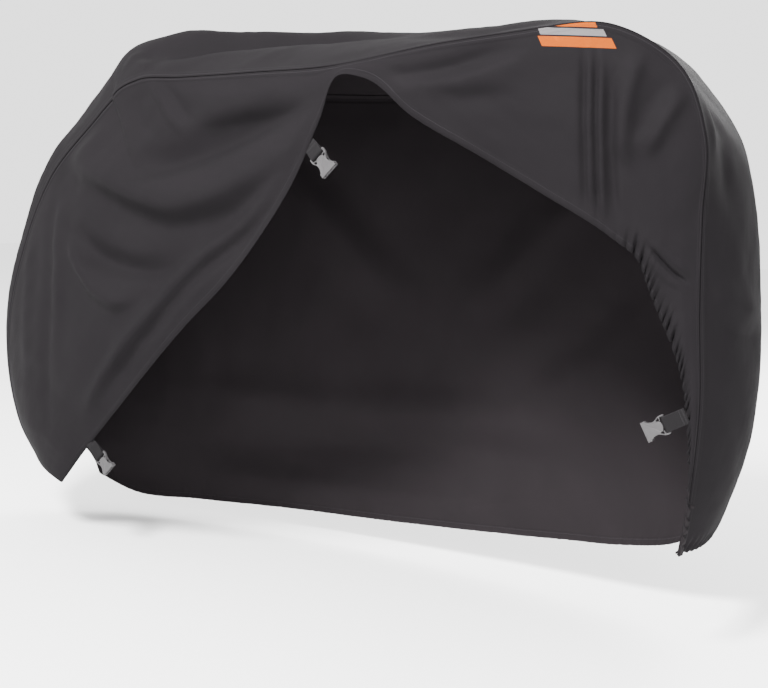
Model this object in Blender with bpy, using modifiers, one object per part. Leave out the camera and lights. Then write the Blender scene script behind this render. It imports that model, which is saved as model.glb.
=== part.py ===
"""Fitted bicycle cover, as it hangs over a mountain bicycle with one hem lifted onto the grip.

Two side panels are sewn to a top strip that runs from the rear hem, over the saddle and the
handlebar, to the front hem. The near panel's hem is hooked on the end of the handlebar, so its
cloth hangs as two curtains with an open V between them. Three webbing straps with buckle sockets
are sewn to that hem. The bicycle itself is left out.

Lengths are in metres. Shapes are described with x forward from the middle of the wheelbase,
y to the far side and z up from the ground, and an empty carries them to the part's own frame,
whose origin is on the underside of the top, where the bicycle holds the cover up.
"""

import math

import bmesh
import bpy
import numpy as np

# Cloth and seams
SHEET = 0.0015
SEAM_SETBACK = 0.0011
CARRIED_X = 0.01
CARRIED_Z = 1.1710

# Webbing and buckle sockets
WEBBING_WIDTH = 0.030
WEBBING = 0.0014
BUCKLE_LENGTH = 0.042
BUCKLE_HEIGHT = 0.012
BUCKLE_WALL = 0.0023
MOUTH_DEPTH = 0.026
MOUTH_HALF_WIDTH = 0.0150
ROOT_OVERLAP = 0.004
BAR = 0.0044
BAR_SLOT = 0.0062
LOOP_RADIUS = 0.0044

# The strip's centre line from rear hem to front hem, with the distance from it to each side's
# seam. drop is how far that seam lies inside the centre line; it stands out where negative.
STRIP_COLUMNS = ("x", "z", "near_half", "near_drop", "far_half", "far_drop")
STRIP = (
    (-0.815, 0.130, 0.085, 0.050, 0.085, 0.050),  # rear hem
    (-0.893, 0.235, 0.082, 0.055, 0.082, 0.055),
    (-0.942, 0.400, 0.080, 0.062, 0.080, 0.062),  # behind the rear wheel
    (-0.935, 0.540, 0.082, 0.068, 0.082, 0.068),
    (-0.883, 0.720, 0.086, 0.078, 0.088, 0.078),
    (-0.772, 0.926, 0.100, 0.094, 0.105, 0.088),
    (-0.598, 1.082, 0.145, 0.122, 0.145, 0.110),
    (-0.480, 1.181, 0.178, 0.150, 0.175, 0.120),
    (-0.330, 1.200, 0.205, 0.123, 0.200, 0.115),  # saddle
    (-0.180, 1.184, 0.230, 0.108, 0.228, 0.108),
    (0.050, 1.170, 0.290, 0.098, 0.290, 0.098),
    (0.290, 1.164, 0.360, 0.095, 0.356, 0.095),  # handlebar
    (0.500, 1.160, 0.355, 0.062, 0.345, 0.080),
    (0.674, 1.157, 0.345, 0.045, 0.315, 0.075),
    (0.780, 1.112, 0.315, -0.006, 0.275, 0.070),
    (0.856, 1.032, 0.266, -0.034, 0.240, 0.065),
    (0.914, 0.944, 0.240, -0.008, 0.220, 0.060),
    (0.948, 0.822, 0.214, 0.032, 0.200, 0.056),
    (0.965, 0.660, 0.190, 0.052, 0.182, 0.052),
    (0.967, 0.480, 0.174, 0.050, 0.168, 0.050),
    (0.944, 0.320, 0.155, 0.042, 0.153, 0.042),
    (0.902, 0.195, 0.126, 0.022, 0.126, 0.022),  # front hem
)

# The lifted hem of the near panel. station counts along STRIP to the place on the seam that
# the cloth hangs from, and bulge is how far the cloth stands out between seam and hem.
NEAR_COLUMNS = ("station", "x", "y", "z", "bulge")
NEAR_HEM = (
    (0.0, -0.640, -0.140, 0.129, 0.012),  # rear corner
    (2.0, -0.520, -0.185, 0.230, 0.035),
    (3.5, -0.380, -0.230, 0.345, 0.045),
    (4.8, -0.230, -0.275, 0.470, 0.048),
    (6.0, -0.115, -0.300, 0.567, 0.040),
    (7.5, 0.004, -0.322, 0.661, 0.025),
    (9.0, 0.100, -0.340, 0.755, 0.012),
    (10.2, 0.190, -0.352, 0.868, 0.008),
    (10.8, 0.248, -0.360, 0.972, 0.004),
    (11.1, 0.296, -0.371, 1.050, 0.001),  # hooked on the grip
    (11.4, 0.350, -0.369, 1.043, 0.002),
    (12.0, 0.440, -0.356, 0.976, 0.008),
    (12.8, 0.560, -0.330, 0.908, 0.014),
    (13.6, 0.665, -0.304, 0.846, 0.018),
    (14.5, 0.775, -0.262, 0.774, 0.018),
    (15.6, 0.808, -0.240, 0.742, 0.016),
    (17.0, 0.828, -0.218, 0.680, 0.010),
    (18.2, 0.882, -0.184, 0.530, 0.006),
    (19.2, 0.897, -0.166, 0.400, 0.004),
    (20.2, 0.898, -0.152, 0.270, 0.003),
    (21.0, 0.884, -0.128, 0.200, 0.001),  # front corner
)

# The far panel's straight hem, with the same columns.
FAR_HEM = (
    (0.0, -0.745, 0.104, 0.092, 0.004),
    (2.5, -0.640, 0.130, 0.052, 0.030),
    (5.0, -0.460, 0.165, 0.050, 0.040),
    (8.0, -0.200, 0.195, 0.058, 0.030),
    (10.5, 0.100, 0.205, 0.068, 0.018),
    (12.0, 0.350, 0.195, 0.085, 0.016),
    (13.5, 0.560, 0.175, 0.105, 0.018),
    (15.5, 0.700, 0.155, 0.122, 0.020),
    (18.0, 0.790, 0.145, 0.142, 0.018),
    (21.0, 0.862, 0.128, 0.182, 0.002),
)

# Folds as soft ridges, or troughs where rise is negative, from one end to the other.
# sag lowers the middle of the run, and spread is the half-width of the fold.
FOLD_COLUMNS = ("x0", "z0", "x1", "z1", "sag", "spread", "rise")
NEAR_FOLDS = (
    (-0.36, 1.06, -0.20, 0.90, 0.000, 0.045, 0.018),  # pinch under the saddle
    (-0.26, 1.00, 0.22, 1.00, 0.055, 0.040, -0.014),
    (-0.44, 0.86, 0.24, 0.96, 0.150, 0.050, 0.022),  # upper swag
    (-0.50, 0.72, 0.14, 0.80, 0.100, 0.050, -0.016),
    (-0.66, 0.72, -0.34, 0.58, 0.050, 0.050, 0.018),  # lower swag
    (0.10, 0.74, -0.50, 0.30, 0.020, 0.045, 0.020),  # ridge along the hem
    (-0.02, 0.74, -0.60, 0.36, 0.030, 0.045, -0.014),
    (0.36, 1.05, 0.66, 1.00, 0.020, 0.035, 0.012),  # pulled from the grip
    (0.72, 1.06, 0.73, 0.80, 0.000, 0.030, 0.012),  # pleats of the right curtain
    (0.80, 1.06, 0.79, 0.80, 0.000, 0.030, -0.010),
)
FAR_FOLDS = (
    (-0.70, 0.20, 0.70, 0.24, 0.020, 0.045, 0.016),  # level fold above the hem
    (-0.60, 0.31, 0.65, 0.33, 0.020, 0.045, -0.012),
    (-0.30, 0.92, 0.20, 0.60, 0.030, 0.055, -0.014),
    (0.65, 0.95, 0.25, 0.55, 0.030, 0.055, -0.014),
)

# Straps on the near hem: row is the place along NEAR_HEM, angle how far the strap points below
# forward, and reach its length from the hem to the buckle's bar.
STRAP_COLUMNS = ("name", "row", "angle", "reach", "inboard")
STRAPS = (
    ("rear", 1.22, 45.0, 0.044, 0.0046),
    ("middle", 7.58, 46.0, 0.028, 0.0046),
    ("front", 17.50, 152.0, 0.041, 0.0062),
)

NEAR_CUTS = (60, 13)
STRIP_CUTS = (54, 7)
FAR_CUTS = (44, 9)

CLOTH_BLACK = (0.034, 0.030, 0.034)
LINING_BLACK = (0.016, 0.014, 0.016)
WEBBING_BLACK = (0.030, 0.028, 0.032)
BUCKLE_GREY = (0.270, 0.260, 0.262)


def column(table, columns, name):
    return np.array([row[columns.index(name)] for row in table])


def smooth_through(values, places, at):
    """A smooth curve through values at rising places, read at other places."""
    slopes = np.gradient(values, places)
    i = np.clip(np.searchsorted(places, at, side="right") - 1, 0, len(places) - 2)
    span = places[i + 1] - places[i]
    f = (at - places[i]) / span
    return (
        (2 * f**3 - 3 * f**2 + 1) * values[i]
        + (f**3 - 2 * f**2 + f) * span * slopes[i]
        + (3 * f**2 - 2 * f**3) * values[i + 1]
        + (f**3 - f**2) * span * slopes[i + 1]
    )


def strip_lengths():
    """The distance along the centre line to each row of STRIP."""
    steps = np.diff([column(STRIP, STRIP_COLUMNS, name) for name in ("x", "z")], axis=1)
    return np.concatenate([[0.0], np.cumsum(np.hypot(*steps))])


def strip_at(station, name):
    lengths = strip_lengths()
    along = np.interp(station, np.arange(len(STRIP)), lengths)
    return smooth_through(column(STRIP, STRIP_COLUMNS, name), lengths, along)


def strip_point(station, across):
    """A point of the top strip; across runs from -1 at the near seam to 1 at the far seam."""
    step = 0.02
    last = len(STRIP) - 1
    before = np.clip(station - step, 0, last)
    after = np.clip(station + step, 0, last)
    dx = strip_at(after, "x") - strip_at(before, "x")
    dz = strip_at(after, "z") - strip_at(before, "z")
    size = np.hypot(dx, dz)
    far = across > 0
    half = np.where(far, strip_at(station, "far_half"), strip_at(station, "near_half"))
    drop = np.where(far, strip_at(station, "far_drop"), strip_at(station, "near_drop"))
    inward = drop * np.abs(across) ** 2.2
    return np.stack(
        [
            strip_at(station, "x") + inward * dz / size,
            half * across,
            strip_at(station, "z") - inward * dx / size,
        ],
        axis=-1,
    )


def hem_at(table, row, name):
    """A column of a hem table, read at a row number that may lie between two rows."""
    points = np.array([[r[NEAR_COLUMNS.index(k)] for k in "xyz"] for r in table])
    steps = np.linalg.norm(np.diff(points, axis=0), axis=1)
    lengths = np.concatenate([[0.0], np.cumsum(steps)])
    along = np.interp(row, np.arange(len(table)), lengths)
    return smooth_through(column(table, NEAR_COLUMNS, name), lengths, along)


def fold_relief(folds, x, z):
    """How far the folds lift the cloth at a place on a side panel."""
    lift = np.zeros_like(x)
    for x0, z0, x1, z1, sag, spread, rise in folds:
        run = np.array([x1 - x0, z1 - z0])
        length = np.hypot(*run)
        ahead = ((x - x0) * run[0] + (z - z0) * run[1]) / length**2
        inside = np.clip(ahead, 0, 1)
        mid_z = z0 + inside * run[1] - 4 * sag * inside * (1 - inside)
        aside = np.hypot(x - x0 - inside * run[0], z - mid_z)
        fade = np.sin(np.pi * np.clip(0.12 + 0.76 * ahead, 0, 1)) ** 0.5
        lift += rise * fade * np.exp(-((aside / spread) ** 2))
    return lift


def panel_point(table, folds, row, down):
    """A point of a side panel; down runs from 0 at the seam to 1 at the hem."""
    side = 1.0 if table[0][NEAR_COLUMNS.index("y")] > 0 else -1.0
    station = np.interp(row, np.arange(len(table)), column(table, NEAR_COLUMNS, "station"))
    seam = strip_point(station, np.full_like(station, side))
    hem = np.stack([hem_at(table, row, name) for name in "xyz"], axis=-1)
    point = seam + (hem - seam) * down[..., None]
    out = 4 * down * (1 - down)
    point[..., 1] += side * hem_at(table, row, "bulge") * out
    lift = fold_relief(folds, point[..., 0], point[..., 2])
    width = np.linalg.norm(hem - seam, axis=-1)
    hold = np.clip(down * width / 0.06, 0, 1) * np.clip(width / 0.10, 0, 1)
    point[..., 1] += side * lift * hold
    return point


def sheet_object(name, cuts, place_at, finish, parts):
    """A grid whose points place_at sets from shares along and across, with the cloth's thickness."""
    mesh = bpy.data.meshes.new(name)
    grid = bmesh.new()
    bmesh.ops.create_grid(grid, x_segments=cuts[0], y_segments=cuts[1], size=0.5)
    shares = np.array([vertex.co[:2] for vertex in grid.verts]) + 0.5
    for vertex, place in zip(grid.verts, place_at(shares[:, 0], shares[:, 1])):
        vertex.co = place
    bmesh.ops.recalc_face_normals(grid, faces=grid.faces)
    grid.to_mesh(mesh)
    grid.free()
    mesh.materials.append(finish)
    sheet = bpy.data.objects.new(name, mesh)
    parts.objects.link(sheet)
    solid = sheet.modifiers.new("thickness", "SOLIDIFY")
    solid.thickness = SHEET
    solid.offset = 0.0
    mesh.shade_smooth()
    return sheet


def hem_rows(table, share):
    """Row numbers of a hem table, spread evenly by the distance along the seam and hem."""
    rows = np.linspace(0, len(table) - 1, 400)
    near_edge = np.stack([hem_at(table, rows, name) for name in "xyz"], axis=-1)
    stations = np.interp(rows, np.arange(len(table)), column(table, NEAR_COLUMNS, "station"))
    seam = strip_point(stations, np.ones_like(stations))
    steps = np.linalg.norm(np.diff(near_edge, axis=0), axis=1)
    steps += np.linalg.norm(np.diff(seam, axis=0), axis=1)
    lengths = np.concatenate([[0.0], np.cumsum(steps)])
    return np.interp(share * lengths[-1], lengths, rows)


def make_strip(finish, parts):
    def place(along, across):
        lengths = strip_lengths()
        station = np.interp(along * lengths[-1], lengths, np.arange(len(STRIP)))
        half = strip_at(station, "near_half")
        return strip_point(station, (2 * across - 1) * (1 - SEAM_SETBACK / half))

    return sheet_object("top_strip", STRIP_CUTS, place, finish, parts)


def make_panel(name, table, folds, cuts, finish, parts):
    def place(along, down):
        row = hem_rows(table, along)
        seam = panel_point(table, folds, row, np.zeros_like(row))
        hem = panel_point(table, folds, row, np.ones_like(row))
        setback = SEAM_SETBACK / np.linalg.norm(hem - seam, axis=-1)
        return panel_point(table, folds, row, setback + down * (1 - setback))

    return sheet_object(name, cuts, place, finish, parts)


def outline_object(name, points, height, finish, parts):
    """A flat closed outline, extruded by height about its plane, as a mesh."""
    curve = bpy.data.curves.new(name + "_outline", "CURVE")
    curve.dimensions = "2D"
    curve.fill_mode = "BOTH"
    curve.extrude = height / 2
    spline = curve.splines.new("POLY")
    spline.points.add(len(points) - 1)
    for point, (x, y) in zip(spline.points, points):
        point.co = (x, y, 0, 1)
    spline.use_cyclic_u = True
    guide = bpy.data.objects.new(name + "_guide", curve)
    parts.objects.link(guide)
    graph = bpy.context.evaluated_depsgraph_get()
    mesh = bpy.data.meshes.new_from_object(guide.evaluated_get(graph))
    bpy.data.objects.remove(guide)
    shell = bmesh.new()
    shell.from_mesh(mesh)
    bmesh.ops.remove_doubles(shell, verts=shell.verts, dist=1e-6)
    flat = math.radians(0.5)
    bmesh.ops.dissolve_limit(shell, angle_limit=flat, verts=shell.verts, edges=shell.edges)
    bmesh.ops.recalc_face_normals(shell, faces=shell.faces)
    shell.to_mesh(mesh)
    shell.free()
    mesh.name = name
    mesh.materials.clear()
    mesh.materials.append(finish)
    made = bpy.data.objects.new(name, mesh)
    parts.objects.link(made)
    return made


def cutter_box(name, low, high, cutters):
    mesh = bpy.data.meshes.new(name)
    box = bmesh.new()
    bmesh.ops.create_cube(box, size=1.0)
    low, high = np.array(low), np.array(high)
    for vertex in box.verts:
        vertex.co = (low + high) / 2 + np.array(vertex.co) * (high - low)
    box.to_mesh(mesh)
    box.free()
    cutter = bpy.data.objects.new(name, mesh)
    cutter.hide_render = True
    cutter.display_type = "WIRE"
    cutters.objects.link(cutter)
    return cutter


def buckle_outline():
    """The socket seen on its flat side: ears, waist and a wide mouth. Local x runs to the mouth."""
    half = (
        (-0.0040, 0.0164),
        (-0.0026, 0.0184),
        (0.0045, 0.0184),
        (0.0090, 0.0166),
        (0.0140, 0.0132),
        (0.0195, 0.0118),
        (0.0255, 0.0126),
        (0.0310, 0.0150),
        (0.0340, 0.0164),
        (0.0350, 0.0190),
        (BUCKLE_LENGTH, 0.0190),
    )
    return [(x, w) for x, w in half] + [(x, -w) for x, w in reversed(half)]


def make_buckle(name, finish, parts, cutters):
    """A buckle socket: local x to the mouth, y across its width, z through its height."""
    buckle = outline_object(name, buckle_outline(), BUCKLE_HEIGHT, finish, parts)
    bevel = buckle.modifiers.new("rounded", "BEVEL")
    bevel.width = 0.0010
    bevel.segments = 2
    bevel.limit_method = "ANGLE"
    bevel.angle_limit = math.radians(50)
    slot_half = WEBBING_WIDTH / 2 + 0.0006
    mouth_half = BUCKLE_HEIGHT / 2 - BUCKLE_WALL
    bar_half = slot_half + 0.002
    past = 2 * BUCKLE_LENGTH
    shaping = {
        "gap": ("DIFFERENCE", (-past, -slot_half, -past), (BAR_SLOT, slot_half, past)),
        "mouth": (
            "DIFFERENCE",
            (BUCKLE_LENGTH - MOUTH_DEPTH, -MOUTH_HALF_WIDTH, -mouth_half),
            (past, MOUTH_HALF_WIDTH, mouth_half),
        ),
        "bar": ("UNION", (-BAR / 2, -bar_half, -BAR / 2), (BAR / 2, bar_half, BAR / 2)),
    }
    for part, (operation, low, high) in shaping.items():
        step = buckle.modifiers.new(part, "BOOLEAN")
        step.operation = operation
        step.object = cutter_box(name + "_" + part, low, high, cutters)
        step.object.parent = buckle
    return buckle


def band_outline(reach):
    """The edge of a webbing band that comes from the hem, rounds the bar and folds back."""
    turn = [
        (LOOP_RADIUS * math.sin(a), LOOP_RADIUS * math.cos(a))
        for a in np.linspace(0, math.pi, 9)
    ]
    path = [(-reach, 0.0012), (-0.45 * reach, 0.0016), (-0.004, 0.0040)]
    path += turn
    path += [(-0.004, -0.0040), (-0.45 * reach, -0.0012), (-0.80 * reach, -0.0008)]
    path = np.array(path)
    ahead = np.gradient(path, axis=0)
    ahead /= np.linalg.norm(ahead, axis=1)[:, None]
    aside = np.stack([-ahead[:, 1], ahead[:, 0]], axis=1) * WEBBING / 2
    return [tuple(p) for p in path + aside] + [tuple(p) for p in (path - aside)[::-1]]


def make_strap(spec, frame, finish, plastic, parts, cutters):
    """A strap and its buckle socket, placed at their hem by one empty."""
    name, row, angle, reach, inboard = spec
    root = np.array([hem_at(NEAR_HEM, np.array([row]), key)[0] for key in "xyz"])
    holder = bpy.data.objects.new("place_" + name, None)
    parts.objects.link(holder)
    holder.parent = frame
    down = math.radians(angle)
    ahead = np.array([math.cos(down), 0.0, -math.sin(down)])
    holder.location = root + ahead * (reach - ROOT_OVERLAP) + np.array([0.0, inboard, 0.0])
    holder.rotation_euler = (math.pi / 2, 0.0, 0.0)
    band = outline_object("strap_" + name, band_outline(reach), WEBBING_WIDTH - 0.001, finish, parts)
    buckle = make_buckle("buckle_" + name, plastic, parts, cutters)
    buckle.parent = holder
    buckle.rotation_euler = (0.0, 0.0, -down)
    band.parent = holder
    band.rotation_euler = (math.pi / 2, 0.0, -down)


def surface(name, colour, roughness):
    made = bpy.data.materials.new(name)
    made.use_nodes = True
    shader = made.node_tree.nodes["Principled BSDF"]
    shader.inputs["Base Color"].default_value = (*colour, 1.0)
    shader.inputs["Roughness"].default_value = roughness
    shader.inputs["Metallic"].default_value = 0.0
    return made


def clear_scene():
    for old in list(bpy.data.objects):
        bpy.data.objects.remove(old, do_unlink=True)


def collection(name):
    made = bpy.data.collections.new(name)
    bpy.context.scene.collection.children.link(made)
    return made


def build():
    clear_scene()
    parts = collection("bicycle_cover")
    cutters = collection("cutters")
    outside = surface("coated_cloth", CLOTH_BLACK, 0.55)
    inside = surface("shaded_cloth", LINING_BLACK, 0.65)
    webbing = surface("black_webbing", WEBBING_BLACK, 0.80)
    plastic = surface("grey_plastic", BUCKLE_GREY, 0.45)

    frame = bpy.data.objects.new("carried_at", None)
    parts.objects.link(frame)
    frame.location = (-CARRIED_X, 0.0, -CARRIED_Z)

    sheets = (
        make_strip(outside, parts),
        make_panel("near_panel", NEAR_HEM, NEAR_FOLDS, NEAR_CUTS, outside, parts),
        make_panel("far_panel", FAR_HEM, FAR_FOLDS, FAR_CUTS, inside, parts),
    )
    for sheet in sheets:
        sheet.parent = frame
    for spec in STRAPS:
        make_strap(spec, frame, webbing, plastic, parts, cutters)
    bpy.context.view_layer.update()


build()
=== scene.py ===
"""Looks of the fitted bicycle cover: woven cloth sheets, webbing straps and buckle sockets."""

import math

import bmesh
import bpy
import numpy as np
from mathutils import Matrix, Vector


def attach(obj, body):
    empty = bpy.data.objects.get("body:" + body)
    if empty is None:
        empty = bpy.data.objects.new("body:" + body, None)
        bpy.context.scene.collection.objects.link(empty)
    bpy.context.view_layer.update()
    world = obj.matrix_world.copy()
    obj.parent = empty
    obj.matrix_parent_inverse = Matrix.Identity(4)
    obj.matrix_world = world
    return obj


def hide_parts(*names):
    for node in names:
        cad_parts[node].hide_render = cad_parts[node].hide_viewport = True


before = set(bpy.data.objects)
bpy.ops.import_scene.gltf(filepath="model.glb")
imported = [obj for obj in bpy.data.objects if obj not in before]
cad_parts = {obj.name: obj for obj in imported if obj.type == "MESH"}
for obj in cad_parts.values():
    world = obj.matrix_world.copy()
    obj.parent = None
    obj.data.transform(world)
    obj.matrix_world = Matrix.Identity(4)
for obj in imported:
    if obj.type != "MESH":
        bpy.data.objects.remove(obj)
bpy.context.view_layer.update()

# The frame's origin, counted from the middle of the wheelbase on the ground
CARRIED_X = 0.01
CARRIED_Z = 1.1710
CARRIED = np.array([CARRIED_X, 0.0, CARRIED_Z])

# Cloth: the side panels' turned edge is the allowance, which lies under the strip
SHEET = 0.0015
SEAM_SETBACK = 0.0011
SEAM_STITCH = 0.0055
HEM_FOLD = 0.014
HEM_STITCH = HEM_FOLD * 0.86
STITCH_LENGTH = 0.0042
THREAD_PITCH = 0.0011
ALLOWANCE = (0.0070, 0.0045, 0.0020, 0.0004)
ALLOWANCE_DEPTH = 0.0021

# A place inside the cover, which the strip's outside looks away from
MIDDLE = np.array([0.0, 0.0, 0.55])

# Where a cloth's grid has its finer rows beside a seam and beside a hem
SEAM_EDGE = (0.0, 0.0008, 0.0018, 0.0030, 0.0046, 0.0070, 0.0100, 0.0115, 0.0135, 0.0180)
HEM_EDGE = (
    0.0, 0.0008, 0.0020, 0.0045, 0.0080, 0.0110, 0.0125, 0.0140, 0.0155, 0.0190, 0.0250, 0.0330,
)

# Webbing and buckle sockets
WEBBING_WIDTH = 0.029
WEBBING = 0.0014
RIB_PITCH = 0.0016
CORD_PITCH = 0.0024
EDGE_CORD = 0.0013
BUCKLE_LENGTH = 0.042
BUCKLE_HEIGHT = 0.012
MOUTH_DEPTH = 0.026
MOUTH_HALF_WIDTH = 0.0150
MOUTH_HALF_HEIGHT = 0.0037
ROOT_OVERLAP = 0.004
BAR = 0.0044
BODY_START = 0.0062
LOOP_RADIUS = 0.0044

# Half a socket's outline from its bar's arm to its mouth, and the window in one arm
BUCKLE_OUTLINE = (
    (-0.0022, 0.0168), (-0.0012, 0.0181), (0.0030, 0.0184), (0.0060, 0.0182), (0.0092, 0.0174),
    (0.0122, 0.0156), (0.0150, 0.0137), (0.0185, 0.0122), (0.0225, 0.0119), (0.0262, 0.0126),
    (0.0295, 0.0141), (0.0322, 0.0157), (0.0336, 0.0166), (0.0343, 0.0188), (0.0372, 0.0190),
    (0.0376, 0.0183), (0.0392, 0.0183), (0.0396, 0.0190), (BUCKLE_LENGTH, 0.0190),
)
BUCKLE_WINDOW = ((0.0082, 0.0160), (0.0082, 0.0094), (0.0134, 0.0094), (0.0144, 0.0122))

# Centre line of the top strip from rear hem to front hem, with its reach to each seam. drop is
# how far a seam lies inside the centre line.
STRIP_COLUMNS = ("x", "z", "near_half", "near_drop", "far_half", "far_drop")
STRIP = (
    (-0.815, 0.130, 0.085, 0.050, 0.085, 0.050),  # rear hem
    (-0.893, 0.235, 0.082, 0.055, 0.082, 0.055),
    (-0.942, 0.400, 0.080, 0.062, 0.080, 0.062),
    (-0.935, 0.540, 0.082, 0.068, 0.082, 0.068),
    (-0.883, 0.720, 0.086, 0.078, 0.088, 0.078),
    (-0.772, 0.926, 0.100, 0.094, 0.105, 0.088),
    (-0.598, 1.082, 0.145, 0.122, 0.145, 0.110),
    (-0.480, 1.181, 0.178, 0.150, 0.175, 0.120),
    (-0.330, 1.200, 0.205, 0.123, 0.200, 0.115),  # saddle
    (-0.180, 1.184, 0.230, 0.108, 0.228, 0.108),
    (0.050, 1.170, 0.290, 0.098, 0.290, 0.098),
    (0.290, 1.164, 0.360, 0.095, 0.356, 0.095),  # handlebar
    (0.500, 1.160, 0.355, 0.062, 0.345, 0.080),
    (0.674, 1.157, 0.345, 0.045, 0.315, 0.075),
    (0.780, 1.112, 0.315, -0.006, 0.275, 0.070),
    (0.856, 1.032, 0.266, -0.034, 0.240, 0.065),
    (0.914, 0.944, 0.240, -0.008, 0.220, 0.060),
    (0.948, 0.822, 0.214, 0.032, 0.200, 0.056),
    (0.965, 0.660, 0.190, 0.052, 0.182, 0.052),
    (0.967, 0.480, 0.174, 0.050, 0.168, 0.050),
    (0.944, 0.320, 0.155, 0.042, 0.153, 0.042),
    (0.902, 0.195, 0.126, 0.022, 0.126, 0.022),  # front hem
)

# Hems: station is the place on STRIP that the cloth hangs from, and bulge how far the cloth
# stands out between seam and hem.
HEM_COLUMNS = ("station", "x", "y", "z", "bulge")
NEAR_HEM = (
    (0.0, -0.640, -0.140, 0.129, 0.012),  # rear corner
    (2.0, -0.520, -0.185, 0.230, 0.035),
    (3.5, -0.380, -0.230, 0.345, 0.045),
    (4.8, -0.230, -0.275, 0.470, 0.048),
    (6.0, -0.115, -0.300, 0.567, 0.040),
    (7.5, 0.004, -0.322, 0.661, 0.025),
    (9.0, 0.100, -0.340, 0.755, 0.012),
    (10.2, 0.190, -0.352, 0.868, 0.008),
    (10.8, 0.248, -0.360, 0.972, 0.004),
    (11.1, 0.296, -0.371, 1.050, 0.001),  # hooked on the grip
    (11.4, 0.350, -0.369, 1.043, 0.002),
    (12.0, 0.440, -0.356, 0.976, 0.008),
    (12.8, 0.560, -0.330, 0.908, 0.014),
    (13.6, 0.665, -0.304, 0.846, 0.018),
    (14.5, 0.775, -0.262, 0.774, 0.018),
    (15.6, 0.808, -0.240, 0.742, 0.016),
    (17.0, 0.828, -0.218, 0.680, 0.010),
    (18.2, 0.882, -0.184, 0.530, 0.006),
    (19.2, 0.897, -0.166, 0.400, 0.004),
    (20.2, 0.898, -0.152, 0.270, 0.003),
    (21.0, 0.884, -0.128, 0.200, 0.001),  # front corner
)
FAR_HEM = (
    (0.0, -0.745, 0.104, 0.092, 0.004),
    (2.5, -0.640, 0.130, 0.052, 0.030),
    (5.0, -0.460, 0.165, 0.050, 0.040),
    (8.0, -0.200, 0.195, 0.058, 0.030),
    (10.5, 0.100, 0.205, 0.068, 0.018),
    (12.0, 0.350, 0.195, 0.085, 0.016),
    (13.5, 0.560, 0.175, 0.105, 0.018),
    (15.5, 0.700, 0.155, 0.122, 0.020),
    (18.0, 0.790, 0.145, 0.142, 0.018),
    (21.0, 0.862, 0.128, 0.182, 0.002),
)

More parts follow.
